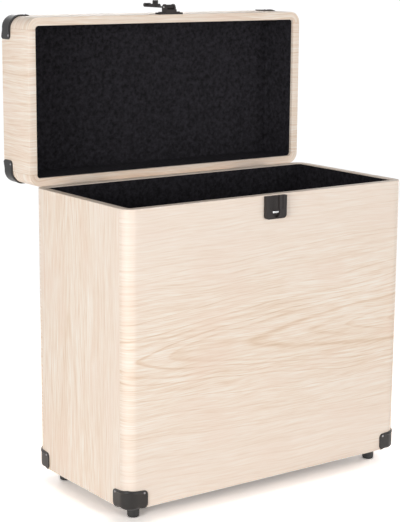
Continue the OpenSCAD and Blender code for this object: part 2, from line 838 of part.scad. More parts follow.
// The grip: a moulded sleeve with rounded ends.
module grip_solid() {
    half = grip_l / 2;
    translate([0, grip_reach, grip_out]) rotate([0, 90, 0])
        difference() {
            rotate_extrude() {
                translate([0, -half + grip_round]) square([grip_r, grip_l - 2 * grip_round]);
                translate([0, -half]) square([grip_r - grip_round, grip_l]);
                for (z = [-1, 1])
                    translate([grip_r - grip_round, z * (half - grip_round)]) circle(grip_round);
            }
            translate([grip_out, 0, -half - past]) cylinder(r = rod_r + seat, h = grip_l + 2 * past);
        }
}

// ---- holes for the fasteners ----

module body_holes() {
    at_corners() at_nails(false) nail_hole();
    at_feet() foot_screw_hole();
    keeper_place() at_studs() translate([0, 0, -hole_fit])
        cylinder(r = stud_d / 2 + hole_fit, h = stud_l + past);
    for (side = [-1, 1]) translate([0, 0, body_h + hinge_up]) at_hinge(side)
        at_leaf_screws() hinge_screw_hole();
}

module lid_holes() {
    translate([0, 0, lid_h]) mirror([0, 0, 1]) at_corners() at_nails(true) nail_hole();
    at_latch_rivets() rivet_hole();
    for (side = [-1, 1]) translate([0, 0, hinge_up - rim_gap]) at_hinge(side) mirror([0, 0, 1])
        at_leaf_screws() hinge_screw_hole();
    for (side = [-1, 1]) translate([0, 0, lid_h + handle_pivot]) bracket_place(side)
        at_bracket_screws() bracket_screw_hole();
}

// ---- finished pieces ----

vinyl_colour = "#ecdccb";
board_colour = "#b98f62";
felt_colour = "#232125";
black_colour = "#2b2a2b";
rubber_colour = "#1d1d1e";
steel_colour = "#c9cacc";

module body_wall(side) {
    color(board_colour) on_body() difference() {
        box_wall(side, body_h);
        body_holes();
    }
}

module body_wrap(side) {
    color(vinyl_colour) on_body() difference() {
        box_sheet(side, body_h, body_turn_in);
        body_holes();
    }
}

module body_base_board() {
    color(board_colour) on_body() difference() {
        box_base(base_t);
        body_holes();
    }
}

module body_base_sheet() {
    color(black_colour) on_body() difference() {
        box_base_sheet();
        body_holes();
    }
}

module body_lining() {
    color(felt_colour) on_body() box_lining(body_h, base_t, body_turn_in);
}

module body_foot(right, back) {
    color(rubber_colour) on_body() at_foot(right, back) foot();
}

module foot_screws() {
    color(steel_colour) on_body() at_feet() foot_screw();
}

module body_guard(right, back) {
    color(black_colour) on_body() at_corner(right, back) guard(foot_plate, false);
}

module body_guard_nails() {
    color(steel_colour) on_body() at_corners() at_nails(false) nail();
}

module latch_keeper() {
    color(black_colour) on_keeper() keeper_solid();
}

module latch_catch() {
    color(steel_colour) on_keeper() catch_solid();
}

module hinge_body_leaf(side) {
    color(black_colour) on_body_hinge(side) body_leaf();
}

module hinge_side_pin(side) {
    color(steel_colour) on_body_hinge(side) hinge_pin();
}

module hinge_screws_body() {
    color(black_colour) for (side = [-1, 1]) on_body_hinge(side) at_leaf_screws() hinge_screw();
}

module lid_wall(side) {
    color(board_colour) difference() {
        on_lid_box() box_wall(side, lid_h);
        on_lid() lid_holes();
    }
}

module lid_wrap(side) {
    color(vinyl_colour) difference() {
        on_lid_box() box_sheet(side, lid_h, lid_turn_in);
        on_lid() lid_holes();
    }
}

module lid_top_board() {
    color(board_colour) difference() {
        on_lid_box() box_base(top_t);
        on_lid() lid_holes();
    }
}

module lid_top_wrap() {
    color(vinyl_colour) difference() {
        on_lid_box() box_base_sheet();
        on_lid() lid_holes();
    }
}

module lid_lining() {
    color(felt_colour) on_lid_box() box_lining(lid_h, top_t, lid_turn_in);
}

module lid_guard(right, back) {
    color(black_colour) on_lid_box() at_corner(right, back) guard(guard_l, true);
}

module lid_guard_nails() {
    color(steel_colour) on_lid_box() at_corners() at_nails(true) nail();
}

module hinge_lid_leaf(side) {
    color(black_colour) on_lid_hinge(side) lid_leaf();
}

module hinge_screws_lid() {
    color(black_colour) for (side = [-1, 1]) on_lid_hinge(side) at_leaf_screws() hinge_screw();
}

module latch_base() {
    color(black_colour) on_lid() latch_base_solid();
}

module latch_pin() {
    color(steel_colour) on_latch() translate([-cheek_w / 2, 0, 0]) rotate([0, 90, 0])
        cylinder(r = latch_pin_r, h = cheek_w);
}

module latch_rivets() {
    color(black_colour) on_lid() at_latch_rivets() rivet();
}

module latch_hasp() {
    color(black_colour) on_latch() hasp_solid();
}

module handle_bracket(side) {
    color(black_colour) on_handle() bracket_place(side) bracket();
}

module handle_screws() {
    color(black_colour) on_handle() for (side = [-1, 1]) bracket_place(side)
        at_bracket_screws() bracket_screw();
}

module handle_rod() {
    color(black_colour) on_handle() {
        rod_half();
        mirror([1, 0, 0]) rod_half();
    }
}

module handle_grip() {
    color(rubber_colour) on_handle() grip_solid();
}

body_wall("front");  // body_front_panel
body_wall("back");  // body_back_panel
body_wall("left");  // body_left_panel
body_wall("right");  // body_right_panel
body_base_board();
body_wrap("front");  // body_front_wrap
body_wrap("back");  // body_back_wrap
body_wrap("left");  // body_left_wrap
body_wrap("right");  // body_right_wrap
body_base_sheet();
body_lining();
body_foot(false, false);  // foot_front_left
body_foot(true, false);  // foot_front_right
body_foot(false, true);  // foot_back_left
body_foot(true, true);  // foot_back_right
foot_screws();
body_guard(false, false);  // body_guard_front_left
body_guard(true, false);  // body_guard_front_right
body_guard(false, true);  // body_guard_back_left
body_guard(true, true);  // body_guard_back_right
body_guard_nails();
latch_keeper();
latch_catch();
hinge_body_leaf(-1);  // hinge_left_body_leaf
hinge_body_leaf(1);  // hinge_right_body_leaf
hinge_side_pin(-1);  // hinge_left_pin
hinge_side_pin(1);  // hinge_right_pin
hinge_screws_body();
lid_wall("front");  // lid_front_panel
lid_wall("back");  // lid_back_panel
lid_wall("left");  // lid_left_panel
lid_wall("right");  // lid_right_panel
lid_top_board();
lid_wrap("front");  // lid_front_wrap
lid_wrap("back");  // lid_back_wrap
lid_wrap("left");  // lid_left_wrap
lid_wrap("right");  // lid_right_wrap
lid_top_wrap();
lid_lining();
lid_guard(false, false);  // lid_guard_front_left
lid_guard(true, false);  // lid_guard_front_right
lid_guard(false, true);  // lid_guard_back_left
lid_guard(true, true);  // lid_guard_back_right
lid_guard_nails();
hinge_lid_leaf(-1);  // hinge_left_lid_leaf
hinge_lid_leaf(1);  // hinge_right_lid_leaf
hinge_screws_lid();
latch_base();
latch_pin();
latch_rivets();
latch_hasp();
handle_bracket(-1);  // handle_bracket_left
handle_bracket(1);  // handle_bracket_right
handle_screws();
handle_rod();
handle_grip();
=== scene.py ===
import math

import bpy
from mathutils import Matrix, Vector


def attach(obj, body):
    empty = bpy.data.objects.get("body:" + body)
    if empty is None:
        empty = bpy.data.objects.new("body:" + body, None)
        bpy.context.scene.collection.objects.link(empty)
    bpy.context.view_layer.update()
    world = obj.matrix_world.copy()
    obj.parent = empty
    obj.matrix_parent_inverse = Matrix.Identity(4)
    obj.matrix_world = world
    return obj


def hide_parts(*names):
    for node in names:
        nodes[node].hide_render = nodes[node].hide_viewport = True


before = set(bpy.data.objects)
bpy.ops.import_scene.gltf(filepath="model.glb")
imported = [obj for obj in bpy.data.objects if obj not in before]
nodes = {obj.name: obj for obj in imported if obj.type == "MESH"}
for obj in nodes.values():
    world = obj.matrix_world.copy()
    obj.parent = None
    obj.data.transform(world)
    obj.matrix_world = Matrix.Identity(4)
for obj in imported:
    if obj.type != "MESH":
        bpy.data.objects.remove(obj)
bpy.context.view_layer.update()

# ---- camera ----
# The case is seen from its front left, a little above the rim of the lower box, with a long lens.
# The place and the turn come from the straight edges of the box and of the open lid.

IMAGE_H = 522
FOCAL_PX = 1506.6
SENSOR_MM = 36
CAMERA_AT = (-0.98185, -1.35538, 0.57659)
CAMERA_YAW = math.radians(35.8459)
CAMERA_PITCH = math.radians(11.5206)
CAMERA_ROLL = math.radians(-0.3913)

bpy.ops.object.camera_add()
camera = bpy.context.object
camera.name = "camera"
camera.data.sensor_width = SENSOR_MM
camera.data.lens = SENSOR_MM * FOCAL_PX / IMAGE_H
camera.matrix_world = (
    Matrix.Translation(CAMERA_AT)
    @ Matrix.Rotation(-CAMERA_YAW, 4, "Z")
    @ Matrix.Rotation(math.pi / 2 - CAMERA_PITCH, 4, "X")
    @ Matrix.Rotation(-CAMERA_ROLL, 4, "Z")
)
bpy.context.scene.camera = camera
bpy.context.scene.view_settings.view_transform = "Standard"

# ---- floor and light ----
# A plain white floor that keeps a narrow soft shadow, a white surround, and large soft lamps.
# Most of the light comes from low down at the front and sides, so what faces up is a little darker.

FLOOR_SIZE = 40
# The floor throws back light as white paper does. To the camera and in gloss it is raised to white,
# a little warm in the shadow, and between the two shadow distances it turns plain white.
FLOOR_BOUNCE = (0.92, 0.92, 0.92, 1)
FLOOR_SEEN = (2.7, 2.57, 2.48, 1)
FLOOR_WHITE = 1.03
SHADOW_NEAR, SHADOW_REACH = 0.3, 0.95
SURROUND_LIGHT = 0.24
# Each lamp has its place, the place it points at, its width and height, and its power in watts.
LAMPS = {
    "front_lamp": ((0.5, -2.6, 0.4), (0, 0, 0.15), (1.3, 1.1), 26.5),
    "left_lamp": ((-2.5, -1.1, 0.4), (0, 0, 0.15), (1.1, 1.1), 48.5),
    "top_lamp": ((0.2, 0.2, 2.4), (0, 0, 0.2), (1.6, 1.6), 0.6),
    "back_lamp": ((0.9, 2.4, 0.9), (0, 0, 0.25), (1.6, 1.2), 26),
    "right_lamp": ((2.5, 0.4, 0.7), (0, 0, 0.2), (1.3, 1.2), 20),
}


def linear(hex_colour):
    """A colour written as sRGB hex, in the linear values that the shaders take."""
    parts = [int(hex_colour[i : i + 2], 16) / 255 for i in (1, 3, 5)]
    return tuple(p / 12.92 if p <= 0.04045 else ((p + 0.055) / 1.055) ** 2.4 for p in parts) + (1,)


def add_node(tree, kind, links=None, **settings):
    """Adds a node; settings are its options, and links sets or feeds its inputs by name or number."""
    item = tree.nodes.new(kind)
    for key, value in settings.items():
        setattr(item, key, value)
    for key, value in (links or {}).items():
        if isinstance(value, bpy.types.NodeSocket):
            tree.links.new(value, item.inputs[key])
        else:
            item.inputs[key].default_value = value
    return item


def deselect():
    """Nothing is selected, so that the next tool acts on its own piece alone."""
    if bpy.context.object and bpy.context.object.mode != "OBJECT":
        bpy.ops.object.mode_set(mode="OBJECT")
    bpy.ops.object.select_all(action="DESELECT")


def shown(tree):
    """1 for the rays that show the white surround: those of the camera and of gloss."""
    path = add_node(tree, "ShaderNodeLightPath").outputs
    rays = {0: path["Is Camera Ray"], 1: path["Is Glossy Ray"]}
    return add_node(tree, "ShaderNodeMath", rays, operation="MAXIMUM").outputs[0]


deselect()
bpy.ops.mesh.primitive_plane_add(size=FLOOR_SIZE)
floor = bpy.context.object
floor.name = "floor"
floor_paper = bpy.data.materials.new("white_floor_paper")
floor_paper.use_nodes = True
tree = floor_paper.node_tree
tree.nodes.clear()
seen = shown(tree)
place = add_node(tree, "ShaderNodeTexCoord").outputs["Object"]
away = add_node(tree, "ShaderNodeVectorMath", {0: place}, operation="LENGTH").outputs["Value"]
fade = add_node(
    tree,
    "ShaderNodeMapRange",
    {"Value": away, "From Min": SHADOW_NEAR, "From Max": SHADOW_REACH},
    interpolation_type="SMOOTHSTEP",
)
glow = add_node(tree, "ShaderNodeMath", {0: seen, 1: fade.outputs[0]}, operation="MULTIPLY")
tone = add_node(tree, "ShaderNodeMix", {"Factor": seen, 6: FLOOR_BOUNCE, 7: FLOOR_SEEN}, data_type="RGBA")
paper = add_node(tree, "ShaderNodeBsdfDiffuse", {"Color": tone.outputs[2]})
white = add_node(tree, "ShaderNodeEmission", {"Color": (1, 1, 1, 1), "Strength": FLOOR_WHITE})
both = add_node(
    tree, "ShaderNodeMixShader", {0: glow.outputs[0], 1: paper.outputs[0], 2: white.outputs[0]}
)
add_node(tree, "ShaderNodeOutputMaterial", {"Surface": both.outputs[0]})
floor.data.materials.append(floor_paper)

surround = bpy.data.worlds.new("surround")
bpy.context.scene.world = surround
surround.use_nodes = True
tree = surround.node_tree
tree.nodes.clear()
level = add_node(tree, "ShaderNodeMapRange", {"Value": shown(tree), "To Min": SURROUND_LIGHT})
sky = add_node(tree, "ShaderNodeBackground", {"Color": (1, 1, 1, 1), "Strength": level.outputs[0]})
add_node(tree, "ShaderNodeOutputWorld", {"Surface": sky.outputs[0]})

for name, (spot, target, size, power) in LAMPS.items():
    deselect()
    bpy.ops.object.light_add(type="AREA", location=spot)
    lamp = bpy.context.object
    lamp.name = name
    lamp.data.shape = "RECTANGLE"
    lamp.data.size, lamp.data.size_y = size
    lamp.data.energy = power
    lamp.rotation_euler = (Vector(target) - Vector(spot)).to_track_quat("-Z", "Y").to_euler()

# ---- boards ----
# The walls, base and top are sawn softwood boards, glued at the mitres.
# They are hidden by the coverings and show only where a sheet stops.

# The width of one ring of the pine, and of one band of a wave texture at scale 1, in metres.
PINE_RING = 0.004
RING_TO_WAVE = 0.31


def principled(name, colour, roughness, **sockets):
    """A material with the main shader, its constant values on the shader's own sockets."""
    material = bpy.data.materials.new(name)
    material.use_nodes = True
    tree = material.node_tree
    shader = tree.nodes["Principled BSDF"]
    shader.inputs["Base Color"].default_value = linear(colour)
    shader.inputs["Roughness"].default_value = roughness
    for key, value in sockets.items():
        shader.inputs[key].default_value = value
    return material, tree, shader


def finish_with(piece, material):
    """The piece takes one material all over."""
    piece.data.materials.clear()
    piece.data.materials.append(material)


def sawn_pine():
    # Pale sawn pine: soft yellow brown with darker rings, matt and slightly rough.
    material, tree, shader = principled("sawn_pine", "#c9a06e", 0.75)
    place = add_node(tree, "ShaderNodeTexCoord")
    rings = add_node(
        tree,
        "ShaderNodeTexWave",
        {
            "Vector": place.outputs["Object"],
            "Scale": RING_TO_WAVE / PINE_RING,
            "Distortion": 5,
            "Detail": 3,
            "Detail Scale": 1.5,
        },
        bands_direction="Z",
    )
    tone = add_node(tree, "ShaderNodeValToRGB", {"Fac": rings.outputs["Fac"]})
    tone.color_ramp.elements[0].color = linear("#d3ae7e")
    tone.color_ramp.elements[1].color = linear("#b08552")
    tree.links.new(tone.outputs["Color"], shader.inputs["Base Color"])
    saw = add_node(tree, "ShaderNodeTexNoise", {"Vector": place.outputs["Object"], "Scale": 900})
    bump = add_node(
        tree, "ShaderNodeBump", {"Height": saw.outputs["Fac"], "Strength": 0.3, "Distance": 0.0003}
    )
    tree.links.new(bump.outputs["Normal"], shader.inputs["Normal"])
    return material


pine = sawn_pine()
for name, node in nodes.items():
    if name.endswith("_panel") or name.endswith("_board"):
        finish_with(node, pine)

# ---- wood-print vinyl ----
# Each wall has its own sheet of vinyl, glued on, run over the rim and turned down inside.
# The front and back sheets also run round the upright edges, to a seam on each side wall.

CASE_W, CASE_D, BODY_H, LID_H = 0.372, 0.182, 0.313, 0.058
EDGE_R, EDGE_STEPS = 0.013, 14
RIM_W = 0.009
# The sheet is turned down inside the rim and in under the base by these widths.
TURN_IN = {"body": 0.001, "lid": 0.004}
TURN_UNDER = 0.014
VINYL_T = 0.0005
RIM_ROUND = 0.0009
SEAM_GAP = 0.00018
# Under each guard the sheets are notched, this far along the edges and this far up.
GUARD_COVER = 0.0225
GUARD_COVER_H = 0.0165
# Where the two boxes stand: the lid is open, upright behind the lower box.
CASE_Y = -0.0382
FOOT_H = 0.016
LID_TOP_Y = 0.1187
LID_MID_Z = 0.4184
FLAT_SMOOTH, ROUND_SMOOTH = math.radians(35), math.radians(50)

BODY_PLACE = Matrix.Translation((0, CASE_Y, FOOT_H))
LID_PLACE = Matrix.Translation((0, LID_TOP_Y, LID_MID_Z)) @ Matrix.Rotation(math.pi / 2, 4, "X")


def apply_place(piece):
    """The piece's place goes into its mesh, and its object to the origin."""
    deselect()
    piece.select_set(True)
    bpy.context.view_layer.objects.active = piece
    bpy.ops.object.transform_apply(location=True, rotation=True, scale=True)


def modify(piece, kind, **settings):
    """Adds a modifier and applies it."""
    deselect()
    piece.select_set(True)
    bpy.context.view_layer.objects.active = piece
    item = piece.modifiers.new(kind.lower(), kind)
    for key, value in settings.items():
        setattr(item, key, value)
    bpy.ops.object.modifier_apply(modifier=item.name)


def edit(piece, mode="FACE"):
    """Opens a piece in edit mode with nothing selected."""
    deselect()
    piece.select_set(True)
    bpy.context.view_layer.objects.active = piece
    bpy.ops.object.mode_set(mode="EDIT")
    bpy.ops.mesh.select_mode(type=mode)
    bpy.ops.mesh.select_all(action="DESELECT")
    bpy.ops.object.mode_set(mode="OBJECT")


def pick(piece, kind, test):
    """Selects the faces, edges or vertices that pass a test, and goes back to edit mode."""
    if bpy.context.object.mode != "OBJECT":
        bpy.ops.object.mode_set(mode="OBJECT")
    for item in getattr(piece.data, kind):
        item.select = bool(test(item))
    bpy.ops.object.mode_set(mode="EDIT")


def ends(piece, edge):
    """The two ends of an edge."""
    return [piece.data.vertices[i].co for i in edge.vertices]


def upright(piece, edge):
    """True for an edge that stands upright."""
    a, b = ends(piece, edge)
    return abs(a.z - b.z) > 1e-4 and (a.xy - b.xy).length < 1e-6


def copy_piece(piece, name):
    """A copy with its own mesh."""
    twin = piece.copy()
    twin.data = piece.data.copy()
    twin.name = name
    bpy.context.scene.collection.objects.link(twin)
    return twin


def box_skin(height, turn_in):
    """The whole covering of a box, one face thick: outer faces, rim, turned edge, strip under the base."""
    deselect()
    bpy.ops.mesh.primitive_cube_add(size=1, location=(0, 0, height / 2))
    skin = bpy.context.object
    skin.scale = (CASE_W, CASE_D, height)
    apply_place(skin)
    edit(skin, "EDGE")
    pick(skin, "edges", lambda e: upright(skin, e))
    bpy.ops.mesh.bevel(offset=EDGE_R, segments=EDGE_STEPS, profile=0.5)
    bpy.ops.mesh.select_mode(type="FACE")
    pick(skin, "polygons", lambda f: f.normal.z > 0.9)
    bpy.ops.mesh.inset(thickness=RIM_W)
    bpy.ops.mesh.extrude_region_move(TRANSFORM_OT_translate={"value": (0, 0, -turn_in)})
    bpy.ops.mesh.delete(type="FACE")
    pick(skin, "polygons", lambda f: f.normal.z < -0.9)
    bpy.ops.mesh.inset(thickness=TURN_UNDER)
    bpy.ops.mesh.delete(type="FACE")
    bpy.ops.object.mode_set(mode="OBJECT")
    return skin


def paper_map(sheet, height):
    """Lays the sheet out flat: its UV map holds real metres along the wall and up over the rim."""
    layer = sheet.data.uv_layers[0]
    layer.name = "paper"
    half_w, half_d = CASE_W / 2 - EDGE_R, CASE_D / 2 - EDGE_R
    for face in sheet.data.polygons:
        side = face.center
        for loop in face.loop_indices:
            p = sheet.data.vertices[sheet.data.loops[loop].vertex_index].co
            if abs(side.x) < half_w or abs(side.y) > half_d:
                over, deep = max(abs(p.x) - half_w, 0), abs(p.y) - half_d
                turn = math.atan2(over, max(deep, 1e-6)) if over else 0
                u = math.copysign(min(abs(p.x), half_w) + EDGE_R * turn, p.x)
                inward = EDGE_R - (deep if abs(p.x) < half_w else math.hypot(over, deep))
            else:
                u = p.y
                inward = CASE_W / 2 - abs(p.x)
            inward = max(inward, 0)
            if face.normal.z > 0.5:
                v = height + inward
            elif face.normal.z < -0.5:
                v = -inward
            elif inward > RIM_W / 2:
                v = height + RIM_W + (height - p.z)
            else:
                v = p.z
            layer.data[loop].uv = (u, v)


GUARD_LINES = [(x * (CASE_W / 2 - GUARD_COVER), 0, 0) for x in (-1, 1)]
GUARD_LINES += [(0, y * (CASE_D / 2 - GUARD_COVER), 0) for y in (-1, 1)]


def under_guard(p):
    """True where a guard hides the corner in plan."""
    return abs(p.x) > CASE_W / 2 - GUARD_COVER and abs(p.y) > CASE_D / 2 - GUARD_COVER


def cut_sheet(skin, name, side, height, place):
    """One wall's sheet cut from the whole covering, with the notches that the guards hide."""
    sheet = copy_piece(skin, name)
    seam = CASE_D / 2 - EDGE_R
    between = [((0, seam - SEAM_GAP, 0), (0, 1, 0)), ((0, SEAM_GAP - seam, 0), (0, -1, 0))]
    # Each cut is a point and the direction that is cleared. The cuts without one only divide the faces.
    planes = {
        "front": [((0, -seam, 0), (0, 1, 0))],
        "back": [((0, seam, 0), (0, -1, 0))],
        "left": between + [((0, 0, 0), (1, 0, 0))],
        "right": between + [((0, 0, 0), (-1, 0, 0))],
    }[side]
    planes = planes + [(point, None) for point in GUARD_LINES + [(0, 0, GUARD_COVER_H)]]
    edit(sheet)
    bpy.ops.object.mode_set(mode="EDIT")
    for point, normal in planes:
        axis = Vector(point) if normal is None else Vector(normal)
        bpy.ops.mesh.select_all(action="SELECT")
        bpy.ops.mesh.bisect(plane_co=point, plane_no=axis.normalized(), clear_outer=normal is not None)
    pick(sheet, "polygons", lambda f: under_guard(f.center) and f.center.z < GUARD_COVER_H)
    bpy.ops.mesh.delete(type="FACE")
    bpy.ops.object.mode_set(mode="OBJECT")
    paper_map(sheet, height)
    modify(sheet, "SOLIDIFY", thickness=VINYL_T, offset=-1)
    modify(sheet, "BEVEL", width=RIM_ROUND, segments=4, angle_limit=math.radians(70))
    sheet.matrix_world = place
    apply_place(sheet)
    bpy.ops.object.shade_smooth_by_angle(angle=FLAT_SMOOTH)
    return sheet


# The print shows a flat-sawn ash veneer. Its rings are cones about a pith that lies PITH_DEEP under
# the sheet and rises by PITH_RISE of the way along the grain, which draws long arches. PITH_POINT
# sharpens their tips. The lengths are in millimetres of the sheet.
PITH_DEEP = 45
PITH_RISE = 0.054
PITH_POINT = 6.3
RING_MM = 3.6
# Good and bad years make the rings wide and narrow, by up to YEARS_SWING rings over a few of them.
YEARS_SCALE, YEARS_SWING = 0.11, 2.6
# Each layer of the print is a noise drawn out along the grain, with its length, its width, a seed, its
# detail, its twist, and by how much it bends the rings, the fibres and the pores. The pores of ash are
# 0.3 mm wide. They are drawn 1 mm wide, as fine as the render shows.
LAYERS = {
    "sway": (150, 60, 3.1, 1.5, 0, 16),
    "waver": (60, 9, 7.7, 2, 0, 2),
    "fibre": (70, 1.8, 11.3, 3, 0.4, 0),
    "pores": (24, 1.0, 19.9, 2, 0, 0),
    "broad": (140, 17, 5.5, 2, 0, 0),
    "blush": (90, 45, 23.0, 1.5, 0, 0),
}
BENT_LAYERS = ("fibre", "pores")


def wood_vinyl(name, along, across, arch, pale, shift):
    """
    Ash print on one sheet. along and across are the paper axes, 1 or 2, of the grain and across it,
    along less than 0 where the arches point the other way. arch is the strength of the rings, pale the
    paleness far from the pith, and shift the middle of the arches in millimetres and a seed.
    """
    # Printed PVC film: pale pinkish cream with thin brown lines, satin, embossed with fine pores.
    material, tree, shader = principled(name, "#f0dbc8", 0.5)
    shader.inputs["Specular IOR Level"].default_value = 0.35
    paper = add_node(tree, "ShaderNodeUVMap", uv_map="paper")
    axis = add_node(tree, "ShaderNodeSeparateXYZ", {0: paper.outputs["UV"]}).outputs

    # Millimetres along the grain from the middle of the arches, and across it.
    grain, cross = (
        add_node(tree, "ShaderNodeMath", {0: u, 1: scale, 2: start}, operation="MULTIPLY_ADD").outputs[0]
        for u, scale, start in (
            (axis[abs(along) - 1], math.copysign(1000, along), shift[0]),
            (axis[across - 1], 1000, shift[1]),
        )
    )

    layer, bent = {}, cross
    for key, (length, width, seed, detail, twist, bend) in LAYERS.items():
        flat = add_node(tree, "ShaderNodeCombineXYZ", {0: grain, 1: bent if key in BENT_LAYERS else cross})
        drawn = add_node(
            tree,
            "ShaderNodeVectorMath",
            {0: flat.outputs[0], 1: (1 / length, 1 / width, 0), 2: (0, 0, seed + shift[2])},
            operation="MULTIPLY_ADD",
        )
        clouds = add_node(
            tree,
            "ShaderNodeTexNoise",
            {
                "Vector": drawn.outputs[0],
                "Scale": 1,
                "Detail": detail,
                "Roughness": 0.55,
                "Distortion": twist,
            },
        )
        level = add_node(tree, "ShaderNodeMath", {0: clouds.outputs["Fac"], 1: 0.5}, operation="SUBTRACT")
        layer[key] = level.outputs[0]
        if bend:
            moved = {0: layer[key], 1: bend, 2: bent}
            bent = add_node(tree, "ShaderNodeMath", moved, operation="MULTIPLY_ADD").outputs[0]

    # How far each point lies from the pith, which gives its ring.
    rise = {0: grain, 1: -PITH_RISE, 2: PITH_DEEP}
    deep = add_node(tree, "ShaderNodeMath", rise, operation="MULTIPLY_ADD").outputs[0]
    away = add_node(tree, "ShaderNodeMath", {0: bent}, operation="ABSOLUTE").outputs[0]
    spread = add_node(tree, "ShaderNodeMath", {0: away, 1: 1.5}, operation="POWER").outputs[0]
    down = add_node(tree, "ShaderNodeMath", {0: deep, 1: deep}, operation="MULTIPLY").outputs[0]
    square = add_node(tree, "ShaderNodeMath", {0: spread, 1: PITH_POINT, 2: down}, operation="MULTIPLY_ADD")
    radius = add_node(tree, "ShaderNodeMath", {0: square.outputs[0]}, operation="SQRT").outputs[0]
    years = {"W": radius, "Scale": YEARS_SCALE, "Detail": 1}
    good_years = add_node(tree, "ShaderNodeTexNoise", years, noise_dimensions="1D").outputs["Fac"]
    even = add_node(tree, "ShaderNodeMath", {0: radius, 1: 1 / RING_MM}, operation="MULTIPLY").outputs[0]
    uneven = {0: good_years, 1: YEARS_SWING, 2: even}
    ring = add_node(tree, "ShaderNodeMath", uneven, operation="MULTIPLY_ADD").outputs[0]
    growth = add_node(tree, "ShaderNodeMath", {0: ring}, operation="FRACT").outputs[0]
    year = add_node(tree, "ShaderNodeMath", {0: ring}, operation="FLOOR").outputs[0]
    chance = add_node(tree, "ShaderNodeTexWhiteNoise", {"W": year}, noise_dimensions="1D").outputs["Value"]
    strength = add_node(tree, "ShaderNodeMapRange", {"Value": chance, "To Min": 0.25}).outputs[0]
    late_wood = add_node(tree, "ShaderNodeValToRGB", {"Fac": growth})
    ramp = late_wood.color_ramp
    ramp.elements[0].position, ramp.elements[0].color = 0.66, (0, 0, 0, 1)
    ramp.elements[1].position, ramp.elements[1].color = 0.9, (1, 1, 1, 1)
    ramp.elements.new(1.0).color = (0.05, 0.05, 0.05, 1)
    edge = {0: late_wood.outputs["Color"], 1: strength}
    line = add_node(tree, "ShaderNodeMath", edge, operation="MULTIPLY").outputs[0]

    tone = 0
    for part, weight in ((line, arch), (layer["fibre"], 1.5), (layer["pores"], 1.2), (layer["broad"], 0.5)):
        mixed = {0: part, 1: weight, 2: tone}
        tone = add_node(tree, "ShaderNodeMath", mixed, operation="MULTIPLY_ADD").outputs[0]
    ink = add_node(tree, "ShaderNodeMapRange", {"Value": tone, "From Min": -0.35, "From Max": 0.95})
    print_ink = add_node(tree, "ShaderNodeValToRGB", {"Fac": ink.outputs[0]})
    ramp = print_ink.color_ramp
    ramp.elements[0].color = linear("#faf0e4")
    ramp.elements[1].color = linear("#d9bd9f")
    ramp.elements.new(0.30).color = linear("#f3e1cf")
    ramp.elements.new(0.62).color = linear("#e8cfb7")

    # A pink blush in large patches, and paler wood far from the pith.
    colour = print_ink.outputs["Color"]
    for value, low, high, most, tint in (
        (layer["blush"], 0, 0.22, 0.4, "#efd3bf"),
        (away, 30, 120, pale, "#f4e5d8"),
    ):
        share = {"Value": value, "From Min": low, "From Max": high, "To Max": most}
        factor = add_node(tree, "ShaderNodeMapRange", share).outputs[0]
        blend = {"Factor": factor, 6: colour, 7: linear(tint)}
        colour = add_node(tree, "ShaderNodeMix", blend, data_type="RGBA").outputs[2]
    tree.links.new(colour, shader.inputs["Base Color"])

    relief = {0: layer["fibre"], 1: 0.7, 2: layer["pores"]}
    emboss = add_node(tree, "ShaderNodeMath", relief, operation="MULTIPLY_ADD").outputs[0]
    bump = add_node(tree, "ShaderNodeBump", {"Height": emboss, "Strength": 0.35, "Distance": 0.00012})
    tree.links.new(bump.outputs["Normal"], shader.inputs["Normal"])
    satin = {"Value": layer["pores"], "From Min": -0.3, "From Max": 0.3, "To Min": 0.46, "To Max": 0.58}
    dull = add_node(tree, "ShaderNodeMapRange", satin)
    tree.links.new(dull.outputs[0], shader.inputs["Roughness"])
    return material


# The grain runs level on the front and back, upright on the sides of the lower box, and across
# the walls of the lid's sides. The figure of the front sheet lies as on the case in the picture.
PRINTS = {
    "body_front": wood_vinyl("ash_vinyl_front", 1, 2, 0.62, 0.55, (24, -157, 0)),
    "body_back": wood_vinyl("ash_vinyl_back", -1, 2, 0.62, 0.55, (20, -120, 4)),
    "body_left": wood_vinyl("ash_vinyl_left", -2, 1, 0.3, 0.55, (180, -22, 8)),
    "body_right": wood_vinyl("ash_vinyl_right", -2, 1, 0.3, 0.55, (230, -25, 12)),
    "lid_front": wood_vinyl("ash_vinyl_lid_front", 1, 2, 0.6, 0.1, (60, 110, 16)),
    "lid_back": wood_vinyl("ash_vinyl_lid_back", 1, 2, 0.6, 0.1, (-40, 150, 20)),
    "lid_left": wood_vinyl("ash_vinyl_lid_left", 2, 1, 0.6, 0.1, (40, 140, 24)),
    "lid_right": wood_vinyl("ash_vinyl_lid_right", 2, 1, 0.6, 0.1, (20, 120, 28)),
}

LID_SIDES = {"front": "back", "back": "front", "left": "left", "right": "right"}
for box, height, place in (("body", BODY_H, BODY_PLACE), ("lid", LID_H, LID_PLACE)):
    skin = box_skin(height, TURN_IN[box])
    for side in ("front", "back", "left", "right"):
        cut = LID_SIDES[side] if box == "lid" else side
        sheet = cut_sheet(skin, f"{box}_{side}_vinyl", cut, height, place)
        finish_with(sheet, PRINTS[f"{box}_{side}"])
        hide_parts(f"{box}_{side}_wrap")
        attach(sheet, "box" if box == "body" else "lid")
    bpy.data.objects.remove(skin)

# ---- black vinyl under the base ----
# A plain black sheet is glued under the base, over the turned edges of the wood print. It is cut a
# little smaller than the base, so the turned edges show as a pale border. The top of the lid has a
# sheet of the wood print, laid on in the same way.

BASE_SHEET_IN = 0.011
TOP_SHEET_IN = 0.0022
OVERLAY_OUT = 0.00035
OVERLAY_R = 0.004


